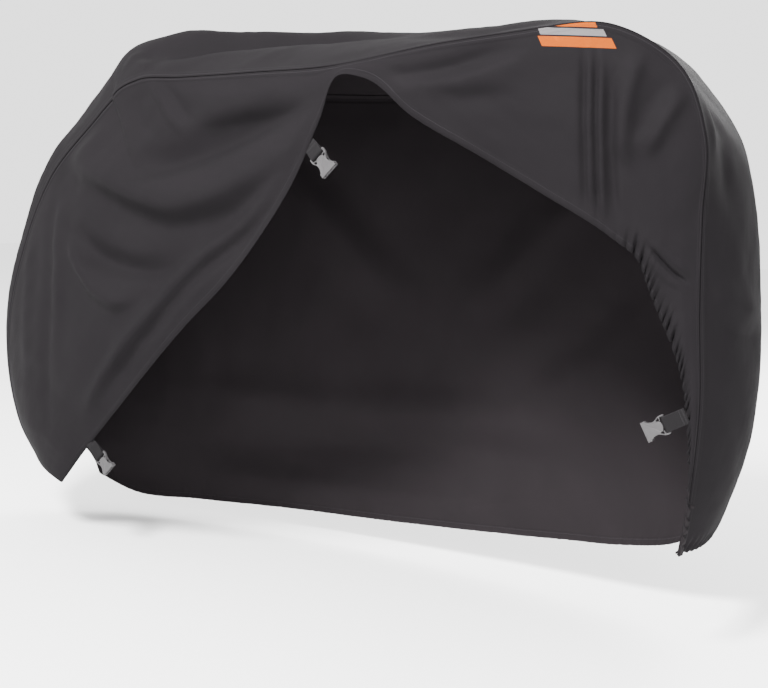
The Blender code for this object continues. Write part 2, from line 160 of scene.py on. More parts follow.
# Folds, each as rise, left, right and line: a soft ridge, or a trough where rise is negative.
# left and right are the fold's reach to either side of its line, seen from outside with the line
# running away. Lines are (x, z) places on the side panels, and (station, across) on the strip.
NEAR_FOLDS = (
    # pinch under the saddle
    (0.0150, 0.020, 0.012, ((-0.292, 1.097), (-0.226, 1.037), (-0.180, 0.996), (-0.133, 0.956))),
    (-0.0100, 0.016, 0.026, ((-0.255, 1.085), (-0.192, 1.030), (-0.120, 0.975))),
    (-0.0060, 0.030, 0.022, ((-0.330, 1.060), (-0.290, 1.000), (-0.240, 0.950))),
    # shelf below the seam, and the hollow under it
    (0.014, 0.060, 0.022, ((-0.135, 0.992), (0.014, 1.008), (0.125, 1.018), (0.240, 1.034))),
    (-0.030, 0.044, 0.026, ((-0.330, 0.930), (-0.286, 0.890), (-0.186, 0.893), (-0.056, 0.928),
                            (0.087, 0.969), (0.235, 1.010))),
    # upper swag
    (0.032, 0.062, 0.028, ((-0.600, 0.905), (-0.397, 0.872), (-0.257, 0.835), (-0.137, 0.818),
                           (-0.030, 0.838), (0.076, 0.875), (0.170, 0.930), (0.240, 0.995))),
    (-0.014, 0.040, 0.060, ((-0.560, 0.850), (-0.430, 0.820), (-0.298, 0.785), (-0.127, 0.765),
                            (0.017, 0.790), (0.110, 0.850))),
    # lower swag
    (-0.025, 0.034, 0.018, ((-0.600, 0.780), (-0.460, 0.705), (-0.360, 0.681), (-0.230, 0.672),
                            (-0.080, 0.710))),
    (0.024, 0.030, 0.020, ((-0.560, 0.770), (-0.470, 0.680), (-0.392, 0.628), (-0.310, 0.606),
                           (-0.240, 0.640))),
    (0.005, 0.024, 0.020, ((-0.530, 0.730), (-0.430, 0.640), (-0.330, 0.560))),
    # long ridge beside the lifted hem
    (0.018, 0.016, 0.020, ((0.218, 0.954), (0.160, 0.864), (0.076, 0.789), (-0.047, 0.716),
                           (-0.176, 0.613), (-0.293, 0.516), (-0.414, 0.404), (-0.520, 0.285))),
    (-0.010, 0.015, 0.020, ((0.175, 0.861), (0.105, 0.795), (0.006, 0.729), (-0.116, 0.646),
                            (-0.222, 0.550), (-0.324, 0.460), (-0.432, 0.352))),
    (0.006, 0.020, 0.020, ((0.070, 0.735), (-0.050, 0.648), (-0.170, 0.548), (-0.290, 0.443))),
    # folds hanging down the rear
    (-0.0050, 0.022, 0.026, ((-0.650, 0.880), (-0.630, 0.711), (-0.614, 0.536), (-0.631, 0.354),
                            (-0.647, 0.226))),
    (0.0045, 0.024, 0.030, ((-0.643, 0.864), (-0.593, 0.712), (-0.576, 0.539), (-0.590, 0.389))),
    (0.0030, 0.034, 0.030, ((-0.800, 0.780), (-0.743, 0.560), (-0.714, 0.342))),
    (-0.007, 0.030, 0.040, ((-0.700, 0.940), (-0.600, 0.880), (-0.480, 0.850))),
    (0.010, 0.050, 0.040, ((-0.640, 0.975), (-0.520, 0.935), (-0.420, 0.950))),
    # folds pulled forward from the grip
    (-0.013, 0.020, 0.022, ((0.350, 1.056), (0.438, 1.046), (0.510, 1.058), (0.587, 1.080),
                            (0.650, 1.094))),
    (0.011, 0.020, 0.026, ((0.380, 1.036), (0.496, 1.027), (0.589, 1.046), (0.670, 1.072))),
    (-0.006, 0.016, 0.022, ((0.420, 1.020), (0.546, 1.006), (0.638, 1.006))),
    # pleats down the front
    (-0.0075, 0.0070, 0.0060, ((0.741, 1.100), (0.742, 0.973), (0.741, 0.893), (0.738, 0.795))),
    (0.0070, 0.0060, 0.0065, ((0.7505, 1.100), (0.7515, 0.974), (0.750, 0.893), (0.747, 0.790))),
    (-0.0070, 0.0050, 0.0050, ((0.7600, 1.100), (0.7615, 0.974), (0.761, 0.894), (0.758, 0.780))),
    (0.0065, 0.0055, 0.0070, ((0.769, 1.090), (0.7695, 0.974), (0.768, 0.894), (0.767, 0.780))),
    (-0.0100, 0.0090, 0.0120, ((0.785, 1.060), (0.786, 0.974), (0.784, 0.894), (0.787, 0.785))),
    (0.0110, 0.0130, 0.0180, ((0.838, 1.100), (0.816, 1.033), (0.805, 0.975), (0.802, 0.880))),
    (0.0120, 0.0130, 0.0200, ((0.905, 1.030), (0.880, 0.995), (0.855, 0.953), (0.833, 0.905))),
    (-0.0060, 0.0150, 0.0200, ((0.862, 1.040), (0.845, 0.985), (0.826, 0.930))),
    # slit-like crease where the front hem turns down
    (-0.0070, 0.0034, 0.0038, ((0.832, 0.766), (0.852, 0.741), (0.875, 0.716), (0.900, 0.698))),
    (0.0024, 0.0060, 0.0050, ((0.842, 0.772), (0.862, 0.750), (0.886, 0.727), (0.905, 0.712))),
    (0.0030, 0.0050, 0.0060, ((0.824, 0.756), (0.842, 0.732), (0.866, 0.705), (0.890, 0.688))),
)
FAR_FOLDS = (
    (0.017, 0.045, 0.050, ((-0.600, 0.190), (-0.345, 0.200), (-0.090, 0.225), (0.101, 0.240),
                           (0.289, 0.246), (0.469, 0.252), (0.700, 0.262))),
    (-0.013, 0.045, 0.045, ((-0.600, 0.330), (0.000, 0.330), (0.650, 0.345))),
    (-0.012, 0.030, 0.040, ((-0.500, 0.115), (0.000, 0.120), (0.500, 0.150), (0.700, 0.170))),
    (-0.016, 0.045, 0.050, ((-0.300, 0.960), (-0.176, 0.839), (-0.069, 0.732), (0.060, 0.580))),
    (0.012, 0.045, 0.050, ((-0.230, 0.980), (-0.100, 0.860), (0.020, 0.740), (0.140, 0.600))),
    (-0.014, 0.050, 0.055, ((0.650, 0.950), (0.420, 0.760), (0.250, 0.550))),
    (0.010, 0.040, 0.050, ((0.700, 0.700), (0.520, 0.520), (0.360, 0.420))),
    (-0.010, 0.040, 0.050, ((-0.640, 0.760), (-0.520, 0.560), (-0.430, 0.380))),
)
STRIP_FOLDS = (
    # hollow below the crest, from the saddle to the handlebar
    (-0.024, 0.034, 0.030, ((7.10, -0.54), (7.80, -0.63), (8.45, -0.64), (9.15, -0.52),
                            (9.80, -0.47), (10.60, -0.46), (11.30, -0.50))),
    (0.012, 0.050, 0.040, ((7.30, -0.30), (8.20, -0.34), (9.20, -0.24), (10.2, -0.20),
                           (11.2, -0.24))),
    # pinch above the seam
    (0.010, 0.018, 0.024, ((7.20, -0.60), (7.75, -0.75), (8.30, -1.00))),
    (-0.006, 0.016, 0.020, ((7.50, -0.62), (8.05, -0.78), (8.60, -0.96))),
    # folds drawn to the handlebar's ends
    (-0.008, 0.030, 0.040, ((11.20, -0.60), (11.80, -0.74), (12.40, -0.78), (13.10, -0.74))),
    (-0.009, 0.035, 0.040, ((8.60, 0.60), (9.60, 0.50), (10.60, 0.60))),
    (0.008, 0.035, 0.040, ((8.00, 0.86), (9.40, 0.80), (10.60, 0.88))),
    # shoulders behind the saddle and over the front wheel
    (-0.006, 0.030, 0.040, ((5.20, -0.50), (6.20, -0.56), (7.00, -0.44))),
    (0.006, 0.030, 0.040, ((5.00, 0.20), (6.00, 0.28), (6.90, 0.36))),
    (0.008, 0.026, 0.034, ((14.40, -0.60), (15.30, -0.72), (16.40, -0.90))),
    (-0.006, 0.026, 0.034, ((14.80, -0.30), (15.80, -0.42), (17.00, -0.70))),
    (0.007, 0.030, 0.020, ((17.60, -1.00), (17.85, -0.80), (18.00, -0.45), (18.12, 0.30))),
    (-0.007, 0.020, 0.034, ((18.10, -0.96), (18.30, -0.50), (18.42, 0.30))),
    (0.006, 0.030, 0.030, ((14.40, 0.50), (15.60, 0.64), (16.80, 0.90))),
)

# Gathers of the elastic hems: row is the place in the hem's table, depth the gathers' size and
# curl how far the hem is drawn in.
GATHER_COLUMNS = ("row", "depth", "curl")
NEAR_GATHERS = (
    (0.0, 0.0012, 0.004), (1.5, 0.0006, 0.004), (8.5, 0.0003, 0.003), (9.5, 0.0003, 0.001),
    (13.0, 0.0004, 0.003), (14.4, 0.0014, 0.006), (15.0, 0.0058, 0.014), (16.0, 0.0075, 0.020),
    (18.0, 0.0080, 0.020), (20.0, 0.0080, 0.020),
)
FAR_GATHERS = ((0.0, 0.0030, 0.006), (1.0, 0.0016, 0.008), (8.0, 0.0018, 0.008), (9.0, 0.003, 0.006))
GATHER_SPACING = 0.0190
GATHER_REACH = 0.050

# Gathers of the strip's two ends
END_GATHERS = 0.0040
END_REACH = 0.045

# How the side panels' columns of points are spread over the rows of their hem's table: closer
# together where weight is higher
NEAR_DENSITY = {
    "row": (0.0, 8.8, 9.0, 12.6, 13.2, 14.4, 14.8, 20.0),
    "weight": (1.0, 1.0, 1.5, 1.5, 3.2, 3.2, 4.0, 4.0),
    "count": 500,
}
FAR_DENSITY = {"row": (0.0, 9.0), "weight": (1.0, 1.0), "count": 330}

# Straps on the near hem, each as name, row, angle, reach and inboard. row is the place along
# NEAR_HEM, angle how far the strap points below forward, reach its length from the hem to the
# buckle's bar, and inboard how far the buckle hangs inside the hem.
STRAPS = (
    ("rear", 1.22, 45.0, 0.044, 0.0046),
    ("middle", 7.58, 46.0, 0.028, 0.0046),
    ("front", 17.50, 152.0, 0.041, 0.0062),
)

# Colours, in linear light
CLOTH_BLACK = (0.0055, 0.0049, 0.0055)
CLOTH_FADED = (0.0081, 0.0073, 0.0080)
LINING_BLACK = (0.0085, 0.0072, 0.0079)
LINING_FADED = (0.0120, 0.0103, 0.0113)
THREAD_GREY = (0.0190, 0.0175, 0.0190)
MARK_ORANGE = (0.240, 0.046, 0.002)
MARK_SILVER = (0.105, 0.100, 0.102)
WEBBING_BLACK = (0.0045, 0.0042, 0.0045)
WEBBING_LIGHT = (0.0095, 0.0088, 0.0094)
BUCKLE_GREY = (0.037, 0.0355, 0.0365)
BUCKLE_PALE = (0.050, 0.048, 0.0495)

# The printed mark: its place and slope on the near panel, and its bars, each as the distance
# from the mark's line, half its width, half its length and its ink
MARK_PLACE = (0.722, 1.104)
MARK_SLOPE = math.radians(-3.0)
MARK_BARS = (
    (-0.0135, 0.0080, 0.058, MARK_ORANGE),
    (0.0025, 0.0055, 0.052, MARK_SILVER),
    (0.0145, 0.0040, 0.044, MARK_ORANGE),
)

# Gentle uneven swell of hanging cloth: wave length and height
SWELL = (
    (0.42, 0.0030), (0.30, 0.0026), (0.21, 0.0020), (0.15, 0.0014), (0.11, 0.0010),
    (0.075, 0.0007), (0.052, 0.0005), (0.036, 0.00030), (0.024, 0.00018),
)


# ---------------------------------------------------------------- shader nodes


class Value:
    """A node's output that can be used in sums."""

    def __init__(self, finish, socket):
        self.finish = finish
        self.socket = socket

    def maths(self, operation, *terms):
        settings = {"operation": operation}
        return self.finish.node("ShaderNodeMath", settings, dict(enumerate(terms)))

    def __add__(self, other):
        return self.maths("ADD", self, other)

    __radd__ = __add__

    def __sub__(self, other):
        return self.maths("SUBTRACT", self, other)

    def __rsub__(self, other):
        return self.maths("SUBTRACT", other, self)

    def __mul__(self, other):
        return self.maths("MULTIPLY", self, other)

    __rmul__ = __mul__

    def __truediv__(self, other):
        return self.maths("DIVIDE", self, other)

    def __mod__(self, other):
        return self.maths("FLOORED_MODULO", self, other)

    def __abs__(self):
        return self.maths("ABSOLUTE", self)

    def sine(self):
        return self.maths("SINE", self)

    def most(self, other):
        return self.maths("MAXIMUM", self, other)

    def least(self, other):
        return self.maths("MINIMUM", self, other)

    def within(self, reach, soft):
        """1 where this value is nearer to 0 than reach, fading over soft."""
        settings = {"interpolation_type": "SMOOTHSTEP"}
        sockets = {"Value": abs(self), "From Min": reach - soft, "From Max": reach + soft,
                   "To Min": 1.0, "To Max": 0.0}
        return self.finish.node("ShaderNodeMapRange", settings, sockets)


class Finish:
    """A material under construction."""

    def __init__(self, name):
        self.material = bpy.data.materials.new(name)
        self.material.use_nodes = True
        self.tree = self.material.node_tree
        self.shader = self.tree.nodes["Principled BSDF"]

    def node(self, kind, settings, sockets, output=0):
        """Adds a node and returns one of its outputs."""
        made = self.tree.nodes.new(kind)
        for key, value in settings.items():
            setattr(made, key, value)
        self.fill(made, sockets)
        return Value(self, made.outputs[output])

    def fill(self, made, sockets):
        for key, value in sockets.items():
            if isinstance(value, Value):
                self.tree.links.new(value.socket, made.inputs[key])
            else:
                made.inputs[key].default_value = value

    def surface(self, **sockets):
        self.fill(self.shader, {key.replace("_", " "): value for key, value in sockets.items()})
        return self.material

    def attribute(self, name, output):
        return self.node("ShaderNodeAttribute", {"attribute_name": name}, {}, output)

    def parts_of(self, vector):
        split = self.node("ShaderNodeSeparateXYZ", {}, {0: vector})
        return [Value(self, socket) for socket in split.socket.node.outputs]

    def noise(self, vector, scale, detail=2.0):
        sockets = {"Vector": vector, "Scale": scale, "Detail": detail}
        return self.node("ShaderNodeTexNoise", {}, sockets)

    def mix(self, share, first, second):
        """A colour between two, by share."""
        first, second = [c if isinstance(c, Value) else (*c, 1.0) for c in (first, second)]
        sockets = {0: share, 6: first, 7: second}
        return self.node("ShaderNodeMix", {"data_type": "RGBA"}, sockets, 2)

    def bump(self, height, distance, strength):
        sockets = {"Height": height, "Distance": distance, "Strength": strength}
        return self.node("ShaderNodeBump", {}, sockets)


def stitches(along, beside):
    """A row of stitches: 1 on the thread, with along and beside in metres."""
    place = (along % STITCH_LENGTH) - STITCH_LENGTH / 2
    return place.within(STITCH_LENGTH * 0.36, 0.0003) * beside.within(0.00042, 0.00015)


def waves(along, pitch):
    """Even waves from -1 to 1, one to each pitch."""
    return (along * (2 * math.pi / pitch)).sine()


def cloth_finish(name, dark, faded, marked=False):
    """Coated woven cloth with seam and hem stitching, and a printed mark if asked."""
    finish = Finish(name)
    along, from_seam, from_hem = finish.parts_of(finish.attribute("cut", "Vector"))
    ground = finish.node("ShaderNodeCombineXYZ", {}, {0: along, 1: from_seam})
    patches = finish.noise(ground, 5.0, 3.0)
    grain = finish.noise(ground, 900.0, 1.0)
    rub = finish.noise(ground, 60.0, 2.0)
    weave = waves(along, THREAD_PITCH) * waves(from_seam, THREAD_PITCH)
    sewn = stitches(along, from_seam - SEAM_STITCH).most(stitches(along, from_hem - HEM_STITCH))
    edge = from_hem.within(0.0022, 0.0012)
    colour = finish.mix(patches * 0.75 + rub * 0.2 + grain * 0.15 - 0.12, dark, faded)
    colour = finish.mix(edge * (0.35 + rub * 0.5), colour, faded)
    colour = finish.mix(sewn, colour, THREAD_GREY)
    roughness = 0.62 + patches * 0.08 + grain * 0.06
    if marked:
        across_mark, along_mark, _ = finish.parts_of(finish.attribute("mark", "Vector"))
        ends = along_mark + across_mark * 0.55
        worn = (rub * 1.9 - 0.42).least(1.0).most(0.82)
        for offset, half, long, ink in MARK_BARS:
            bar = (across_mark - offset).within(half, 0.0004) * ends.within(long, 0.0004)
            colour = finish.mix(bar * worn, colour, ink)
            roughness = roughness - bar * 0.10
    height = weave * 0.5 + grain * 0.6 + sewn * 6.0
    normal = finish.bump(height, 0.00012, 0.55)
    return finish.surface(
        Base_Color=colour, Roughness=roughness, Normal=normal,
        Sheen_Weight=0.003, Sheen_Roughness=0.5, Sheen_Tint=(0.78, 0.75, 0.78, 1.0),
        Specular_IOR_Level=0.012,
    )


def webbing_finish(name):
    """Ribbed webbing with two rows of stitches where it is sewn back on itself."""
    finish = Finish(name)
    across, along, _ = finish.parts_of(finish.attribute("band", "Vector"))
    rib = waves(along + abs(across) * 0.6, RIB_PITCH) * 0.5 + 0.5
    cords = waves(across, CORD_PITCH) * 0.5 + 0.5
    fuzz = finish.noise(finish.attribute("band", "Vector"), 500.0, 2.0)
    edge = 1.0 - across.within(WEBBING_WIDTH / 2 - EDGE_CORD, 0.0006)
    sewn = stitches(across, along - 0.0045).most(stitches(across, along - 0.0105))
    # Painted highlight and shade: the ribs' crests are painted lighter and the grooves between them darker,
    # following the ribs' bump; fuzz gives random tone and the edge cords are lighter
    colour = finish.mix(rib * 0.5 + fuzz * 0.4 + edge * 0.3, WEBBING_BLACK, WEBBING_LIGHT)
    colour = finish.mix(sewn, colour, THREAD_GREY)
    normal = finish.bump(rib * 0.8 + cords * 0.4 + fuzz * 0.3 + sewn * 2.0, 0.00025, 0.8)
    return finish.surface(
        Base_Color=colour, Roughness=0.72 + fuzz * 0.15, Normal=normal,
        Sheen_Weight=0.01, Sheen_Roughness=0.5, Specular_IOR_Level=0.03,
    )


def plastic_finish(name):
    """Satin moulded plastic, finely pebbled and a little scuffed."""
    finish = Finish(name)
    place = finish.node("ShaderNodeTexCoord", {}, {}, "Object")
    cloud = finish.noise(place, 90.0, 2.0)
    pebble = finish.noise(place, 2400.0, 1.0)
    scuff = (finish.noise(place, 300.0, 3.0) * 3.0 - 1.5).least(1.0).most(0.0)
    colour = finish.mix(cloud * 0.7 + scuff * 0.3, BUCKLE_GREY, BUCKLE_PALE)
    normal = finish.bump(pebble, 0.00006, 0.5)
    return finish.surface(
        Base_Color=colour, Roughness=0.40 + cloud * 0.10 + scuff * 0.12, Normal=normal,
        Specular_IOR_Level=0.12,
    )


# ---------------------------------------------------------------- cloth shape


def column(table, columns, name):
    return np.array([row[columns.index(name)] for row in table])


def smooth_through(values, places, at):
    """A smooth curve through values at rising places, read at other places."""
    slopes = np.gradient(values, places)
    i = np.clip(np.searchsorted(places, at, side="right") - 1, 0, len(places) - 2)
    span = places[i + 1] - places[i]
    f = (at - places[i]) / span
    return (
        (2 * f**3 - 3 * f**2 + 1) * values[i]
        + (f**3 - 2 * f**2 + f) * span * slopes[i]
        + (3 * f**2 - 2 * f**3) * values[i + 1]
        + (f**3 - f**2) * span * slopes[i + 1]
    )


def lengths_along(points):
    """The distance along a line to each of its points."""
    steps = np.linalg.norm(np.diff(points, axis=0), axis=1)
    return np.concatenate([[0.0], np.cumsum(steps)])


def strip_lengths():
    """The distance along the centre line to each row of STRIP."""
    return lengths_along(np.stack([column(STRIP, STRIP_COLUMNS, name) for name in ("x", "z")], axis=1))


def strip_at(station, name):
    lengths = strip_lengths()
    along = np.interp(station, np.arange(len(STRIP)), lengths)
    return smooth_through(column(STRIP, STRIP_COLUMNS, name), lengths, along)


def strip_point(station, across):
    """A point of the top strip; across runs from -1 at the near seam to 1 at the far seam."""
    step = 0.02
    last = len(STRIP) - 1
    before = np.clip(station - step, 0, last)
    after = np.clip(station + step, 0, last)
    dx = strip_at(after, "x") - strip_at(before, "x")
    dz = strip_at(after, "z") - strip_at(before, "z")
    size = np.hypot(dx, dz)
    far = across > 0
    half = np.where(far, strip_at(station, "far_half"), strip_at(station, "near_half"))
    drop = np.where(far, strip_at(station, "far_drop"), strip_at(station, "near_drop"))
    inward = drop * np.abs(across) ** 2.2
    return np.stack(
        [
            strip_at(station, "x") + inward * dz / size,
            half * across,
            strip_at(station, "z") - inward * dx / size,
        ],
        axis=-1,
    )


def hem_at(table, row, name):
    """A column of a hem table, read at a row number that may lie between two rows."""
    points = np.array([[r[HEM_COLUMNS.index(k)] for k in "xyz"] for r in table])
    lengths = lengths_along(points)
    along = np.interp(row, np.arange(len(table)), lengths)
    return smooth_through(column(table, HEM_COLUMNS, name), lengths, along)


def softly(share):
    """0 to 1 with level ends."""
    share = np.clip(share, 0, 1)
    return share * share * (3 - 2 * share)


def drawn_line(points, count=90):
    """A smooth run through the points of a fold's line."""
    points = np.array(points)
    lengths = lengths_along(points)
    at = np.linspace(0, lengths[-1], count)
    return np.stack([smooth_through(points[:, k], lengths, at) for k in (0, 1)], axis=1)


def fold_lift(folds, flat, to_flat=None):
    """How far the folds lift the cloth. flat holds each point's place in the folds' plane."""
    lift = np.zeros(len(flat))
    for rise, left, right, line in folds:
        points = np.array(line) if to_flat is None else to_flat(np.array(line))
        run = drawn_line(points)
        low = run.min(axis=0) - 3 * max(left, right)
        high = run.max(axis=0) + 3 * max(left, right)
        close = np.flatnonzero(((flat > low) & (flat < high)).all(axis=1))
        away = flat[close][:, None, :] - run[None, :, :]
        nearest = np.hypot(away[..., 0], away[..., 1]).argmin(axis=1)
        offset = away[np.arange(len(close)), nearest]
        ahead = np.gradient(run, axis=0)
        ahead = (ahead / np.linalg.norm(ahead, axis=1)[:, None])[nearest]
        beside = ahead[:, 0] * offset[:, 1] - ahead[:, 1] * offset[:, 0]
        forward = (ahead * offset).sum(axis=1)
        spacing = np.linalg.norm(run[1] - run[0])
        past_start = np.where(nearest == 0, np.minimum(forward, 0), 0)
        past_end = np.where(nearest == len(run) - 1, np.maximum(forward, 0), 0)
        share = np.clip((nearest + forward / spacing) / (len(run) - 1), 0, 1)
        ends = softly(share / 0.30 + 0.08) * softly((1 - share) / 0.30 + 0.08)
        spread = right + (left - right) * softly(0.5 + beside / (left + right))
        distance = np.hypot(beside, past_start + past_end)
        lift[close] += rise * ends * np.exp(-((distance / spread) ** 2))
    return lift


def unevenness(flat, seed, size=1.0):
    """A gentle uneven swell of the cloth, from a few waves that cross each other."""
    draw = np.random.default_rng(seed)
    lift = np.zeros(len(flat))
    for length, height in SWELL:
        for _ in range(3):
            angle, start = draw.uniform(0, 2 * math.pi, 2)
            stretch = draw.uniform(0.8, 1.25)
            phase = flat @ np.array([math.cos(angle), math.sin(angle)]) * 2 * math.pi / length
            lift += size * height * 0.6 * np.sin(phase * stretch + start)
    return lift


def facing_out(grid, middle):
    """Unit normals of a grid of points, turned away from the middle."""
    normal = np.cross(np.gradient(grid, axis=0), np.gradient(grid, axis=1))
    size = np.linalg.norm(normal, axis=-1, keepdims=True)
    normal = normal / np.maximum(size, 1e-12)
    if ((grid - middle) * normal).sum() < 0:
        normal = -normal
    return normal


def graded(edges, inner, width):
    """Distances from one edge of a cloth to the other: fine near its edges, even between."""
    first, last = edges
    scale = np.minimum(1.0, width / (2.6 * (first[-1] + last[-1])))[:, None]
    first = np.array(first)[None, :] * scale
    last = np.array(last)[None, :] * scale
    share = np.linspace(0, 1, inner + 2)[None, 1:-1]
    start = first[:, -1:]
    end = width[:, None] - last[:, -1:]
    return np.concatenate([first, start + (end - start) * share, width[:, None] - last[:, ::-1]], axis=1)


def groove(distance, depth, reach):
    """A soft groove, which fades over its reach to either side."""
    return -depth * np.exp(-((distance / reach) ** 2))


def seam_lift(from_seam):
    """Cloth sinks into the seam, and rises over the seam's turned allowance beside it."""
    dip = groove(from_seam, 0.0010, 0.0016)
    turned = 0.0011 * softly(from_seam / 0.003) * (1 - softly((from_seam - 0.0100) / 0.0030))
    return dip + turned + groove(from_seam - SEAM_STITCH, 0.0005, 0.0011)


def hem_lift(from_hem):
    """The hem's folded edge is thicker, with a groove where it is sewn down."""
    fold = 0.0013 * (1 - softly((from_hem - HEM_FOLD) / 0.0022))
    rounding = groove(from_hem, 0.0012, 0.0016)
    return fold + rounding + groove(from_hem - HEM_STITCH, 0.0010, 0.0012)


def gathers(table, row, along):
    """Uneven small waves of an elastic hem, and how far it is drawn in."""
    rows = column(table, GATHER_COLUMNS, "row")
    depth = np.interp(row, rows, column(table, GATHER_COLUMNS, "depth"))
    curl = np.interp(row, rows, column(table, GATHER_COLUMNS, "curl"))
    turn = 2 * math.pi / GATHER_SPACING
    phase = turn * along + 1.3 * np.sin(along * 37.0) + 0.9 * np.sin(along * 83.0 + 1.0)
    size = 0.72 + 0.38 * np.sin(along * 61.0 + 0.4) * np.sin(along * 23.0)
    wave = np.sin(phase) + 0.35 * np.sin(2.1 * phase + 0.7)
    return depth * size * wave, curl


def rows_by_length(table, density):
    """Row numbers of a hem table, spread as density says."""
    rows = np.linspace(0, len(table) - 1, 2400)
    edge = np.stack([hem_at(table, rows, name) for name in "xyz"], axis=-1)
    stations = np.interp(rows, np.arange(len(table)), column(table, HEM_COLUMNS, "station"))
    seam = strip_point(stations, np.ones_like(stations))
    steps = np.linalg.norm(np.diff(edge, axis=0), axis=1)
    steps += np.linalg.norm(np.diff(seam, axis=0), axis=1)
    middle = (rows[1:] + rows[:-1]) / 2
    weights = np.interp(middle, density["row"], density["weight"])
    sums = np.concatenate([[0.0], np.cumsum(steps * weights)])
    return np.interp(np.linspace(0, sums[-1], density["count"]), sums, rows)


def cloth_object(name, grid, cut, finishes, extra=None):
    """A sheet of cloth from a grid of points in the wheelbase's frame."""
    across, down = grid.shape[:2]
    index = np.arange(across * down).reshape(across, down)
    corners = (index[:-1, :-1], index[1:, :-1], index[1:, 1:], index[:-1, 1:])
    faces = np.stack([c.ravel() for c in corners], axis=1)
    mesh = bpy.data.meshes.new(name)
    mesh.from_pydata((grid.reshape(-1, 3) - CARRIED).tolist(), [], faces.tolist())
    for key, values in {"cut": cut, **(extra or {})}.items():
        layer = mesh.attributes.new(key, "FLOAT_VECTOR", "POINT")
        layer.data.foreach_set("vector", values.reshape(-1).astype(np.float32))
    for finish in finishes:
        mesh.materials.append(finish)
    mesh.shade_smooth()
    piece = bpy.data.objects.new(name, mesh)
    bpy.context.scene.collection.objects.link(piece)
    solid = piece.modifiers.new("thickness", "SOLIDIFY")
    solid.thickness = SHEET
    solid.offset = 0.0
    solid.material_offset = len(finishes) - 1
    return piece


def turn_outward(piece, outward):
    """Turns the faces so that most look outward, which is worked out from a face's place."""
    mesh = piece.data
    facing = sum((p.normal.dot(outward(p.center)) * p.area for p in mesh.polygons), 0.0)
    if facing < 0:
        mesh.flip_normals()


def allowance(station, side):
    """The side panel's turned edge, which lies against the underside of the strip."""
    half = strip_at(station, "far_half" if side > 0 else "near_half")
    spare = np.array(ALLOWANCE)
    across = side * (1 - spare[None] / half[:, None])
    wide = np.broadcast_to(station[:, None], across.shape)
    grid = strip_point(wide.ravel(), across.ravel()).reshape(*across.shape, 3)
    out = facing_out(grid, MIDDLE)
    sink = seam_lift(spare)[None] - ALLOWANCE_DEPTH
    return grid + out * sink[..., None]


def make_side(name, hem, folds, gather_table, density, inner, seed, finishes, marked=False):
    """A side panel: its seam on the top strip, its folds, its hem and the hem's gathers."""
    side = 1.0 if hem[0][HEM_COLUMNS.index("y")] > 0 else -1.0
    row = rows_by_length(hem, density)
    station = np.interp(row, np.arange(len(hem)), column(hem, HEM_COLUMNS, "station"))
    seam = strip_point(station, np.full_like(station, side))
    edge = np.stack([hem_at(hem, row, key) for key in "xyz"], axis=-1)
    width = np.linalg.norm(edge - seam, axis=-1)
    from_seam = SEAM_SETBACK + graded((SEAM_EDGE, HEM_EDGE), inner, width - SEAM_SETBACK)
    down = from_seam / width[:, None]
    from_hem = width[:, None] - from_seam
    grid = seam[:, None] + (edge - seam)[:, None] * down[..., None]
    bulge = hem_at(hem, row, "bulge")
    grid[..., 1] += side * bulge[:, None] * 4 * down * (1 - down)

    hem_along = lengths_along(edge)
    seam_along = lengths_along(seam)
    along = seam_along[:, None] * (1 - down) + hem_along[:, None] * down

    flat = grid[..., [0, 2]].reshape(-1, 2)
    lift = (fold_lift(folds, flat) + unevenness(flat, seed, 0.55)).reshape(down.shape)
    hold = softly(from_seam / 0.060) * softly(0.15 + from_hem / 0.050)
    hold = hold * np.clip(width / 0.10, 0, 1)[:, None]
    far_behind = np.array([0.0, -side * 2.0, 0.6])
    out = facing_out(grid, far_behind)
    sideways = np.zeros_like(grid)
    sideways[..., 1] = side
    blended = 0.5 * out + 0.5 * sideways
    grid = grid + blended * (lift * hold)[..., None]

    wave, curl = gathers(gather_table, row, hem_along)
    reach = np.minimum(GATHER_REACH, 0.6 * width)
    close = np.clip(1 - from_hem / reach[:, None], 0, 1)
    toward_seam = (seam - edge) / width[:, None]
    grid = grid + out * (wave[:, None] * close**1.4)[..., None]
    grid = grid + toward_seam[:, None] * (0.55 * np.abs(wave[:, None]) * close**2)[..., None]
    grid[..., 1] -= side * curl[:, None] * close**2

    out = facing_out(grid, far_behind)
    narrow = np.clip(width / 0.09, 0.25, 1)[:, None]
    trim = seam_lift(from_seam / narrow) + hem_lift(from_hem / narrow)
    grid = grid + out * (trim * narrow)[..., None]

    tucked = allowance(station, side)
    grid = np.concatenate([tucked, grid], axis=1)
    spare = np.ones((len(station), 1)) * np.array(ALLOWANCE)[None]
    along = np.concatenate([spare * 0 + seam_along[:, None], along], axis=1)
    from_seam = np.concatenate([-spare, from_seam], axis=1)
    from_hem = np.concatenate([width[:, None] + spare, from_hem], axis=1)
    cut = np.stack([along, from_seam, from_hem], axis=-1)
    extra = {}
    if marked:
        ahead = np.array([math.cos(MARK_SLOPE), math.sin(MARK_SLOPE)])
        away = grid[..., [0, 2]] - np.array(MARK_PLACE)
        beside = away @ np.array([-ahead[1], ahead[0]])
        extra["mark"] = np.stack([beside, away @ ahead, np.zeros_like(beside)], axis=-1)
    piece = cloth_object(name, grid, cut, finishes, extra)
    turn_outward(piece, lambda place: Vector((0.0, side, 0.0)))
    return piece


